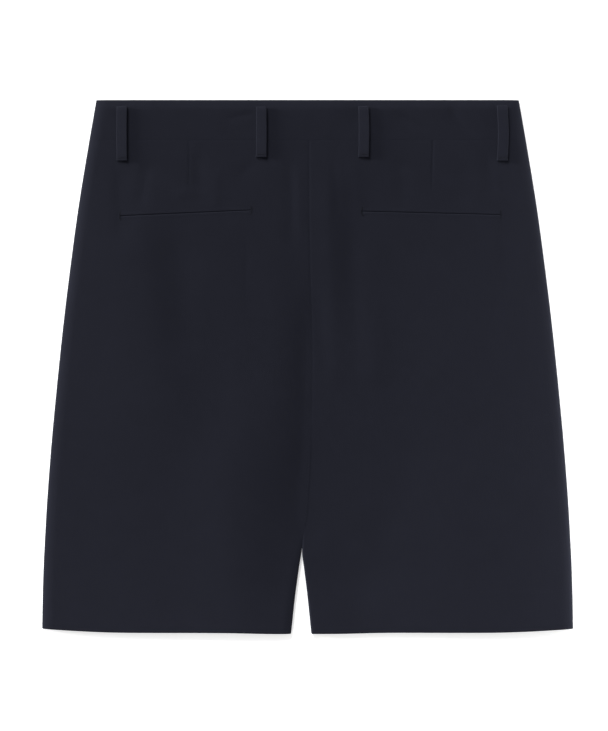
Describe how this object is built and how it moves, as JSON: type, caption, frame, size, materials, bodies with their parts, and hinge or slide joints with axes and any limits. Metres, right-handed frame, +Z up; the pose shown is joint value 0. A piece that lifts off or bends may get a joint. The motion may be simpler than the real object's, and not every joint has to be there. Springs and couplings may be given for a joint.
{
  "type": "bermuda shorts",
  "caption": "Tailored bermuda shorts in dark navy wool cloth, laid flat on their front with the back up: waistband with belt loops, darts, double-welt back pockets and plain turned-up hems.",
  "frame": {"origin": "on the surface the shorts lie on, under the middle of the laid garment's box", "axes": "+Z up out of the back of the garment, +Y towards the waist, +X towards the wearer's right"},
  "size_m": [0.5304, 0.533, 0.0105],
  "materials": {
    "navy_cloth": "matte worsted wool in a fine plain weave",
    "zip_tape": "woven tape with a fine chain",
    "button_horn": "satin resin",
    "zip_metal": "satin"
  },
  "bodies": {
    "root": {"back_left": "navy_cloth", "back_right": "navy_cloth", "front_left": "navy_cloth", "front_right": "navy_cloth", "waistband_back": "navy_cloth", "waistband_front_left": "navy_cloth", "waistband_front_right": "navy_cloth", "belt_loop_back_outer_left": "navy_cloth", "belt_loop_back_inner_left": "navy_cloth", "belt_loop_back_inner_right": "navy_cloth", "belt_loop_back_outer_right": "navy_cloth", "belt_loop_front_left": "navy_cloth", "belt_loop_front_right": "navy_cloth", "pocket_welt_left_upper": "navy_cloth", "pocket_welt_left_lower": "navy_cloth", "pocket_welt_right_upper": "navy_cloth", "pocket_welt_right_lower": "navy_cloth", "waist_button": "button_horn", "fly_zip": "zip_tape", "zip_slider": "zip_metal"}
  },
  "joints": []
}
